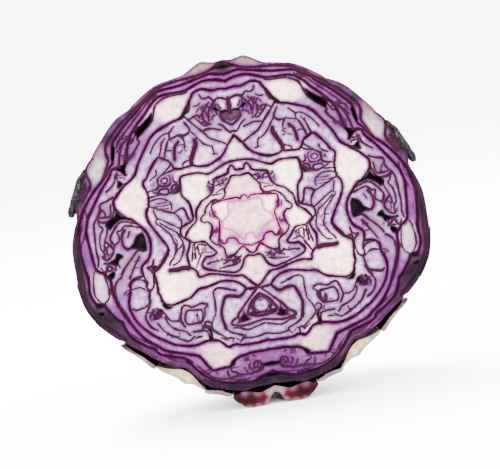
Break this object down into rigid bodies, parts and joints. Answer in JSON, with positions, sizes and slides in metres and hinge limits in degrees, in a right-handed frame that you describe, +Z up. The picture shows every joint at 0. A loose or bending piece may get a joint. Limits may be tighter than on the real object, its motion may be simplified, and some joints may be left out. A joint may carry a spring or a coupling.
{
  "type": "halved red cabbage",
  "caption": "Half a red cabbage cut crosswise, stem half, standing on edge with its nested cut leaves showing.",
  "frame": {"origin": "middle of the box that holds the object, on the table under its low rib", "axes": "+Z up, +Y from the cut face back towards the stem (the shortest side), +X to the right seen from in front of the cut face"},
  "size_m": [0.161, 0.0878, 0.1576],
  "materials": {
    "core_flesh": "moist cut vegetable flesh, pink-cream, satin",
    "pale_flesh": "moist cut leaf rib, cream-white fading to lavender, satin",
    "lavender_flesh": "moist cut leaf edges, lavender with plum seams, satin",
    "purple_leaf": "cut purple leaf edges, satin",
    "outer_leaf": "waxy purple-grey leaf skin with a matt bloom",
    "cream_rib": "thick cream leaf midrib, satin",
    "stem_cut": "dry cut stem end, matt"
  },
  "bodies": {
    "root": {"core": "core_flesh", "folded_leaf_lower_l": "pale_flesh", "folded_leaf_lower_r": "pale_flesh", "folded_leaf_upper_l": "lavender_flesh", "folded_leaf_upper_r": "lavender_flesh", "heart_leaf_l": "pale_flesh", "heart_leaf_r": "pale_flesh", "inner_leaf_l": "pale_flesh", "inner_leaf_r": "pale_flesh", "inner_rib_l": "pale_flesh", "inner_rib_r": "pale_flesh", "keel_rib": "cream_rib", "lower_leaf_l": "pale_flesh", "lower_leaf_r": "pale_flesh", "lower_wrapper_l": "outer_leaf", "lower_wrapper_r": "outer_leaf", "rim_leaf_lower_l": "purple_leaf", "rim_leaf_lower_r": "purple_leaf", "rim_leaf_side_l": "purple_leaf", "rim_leaf_side_r": "purple_leaf", "rim_leaf_upper_l": "purple_leaf", "rim_leaf_upper_r": "purple_leaf", "ring_leaf_lower_l": "pale_flesh", "ring_leaf_lower_r": "pale_flesh", "ring_leaf_upper_l": "pale_flesh", "ring_leaf_upper_r": "pale_flesh", "side_leaf_l": "lavender_flesh", "side_leaf_r": "lavender_flesh", "side_wrapper_l": "outer_leaf", "side_wrapper_r": "outer_leaf", "star_leaf_lower_l": "pale_flesh", "star_leaf_lower_r": "pale_flesh", "star_leaf_upper_l": "pale_flesh", "star_leaf_upper_r": "pale_flesh", "stem_stub": "stem_cut", "top_fold": "lavender_flesh", "top_rib_leaf": "pale_flesh", "top_wrapper": "cream_rib", "under_leaf_blade_l": "outer_leaf", "under_leaf_blade_r": "outer_leaf", "under_leaf_edge_l": "outer_leaf", "under_leaf_edge_r": "outer_leaf", "under_leaf_rib_l": "cream_rib", "under_leaf_rib_r": "cream_rib"}
  },
  "joints": []
}
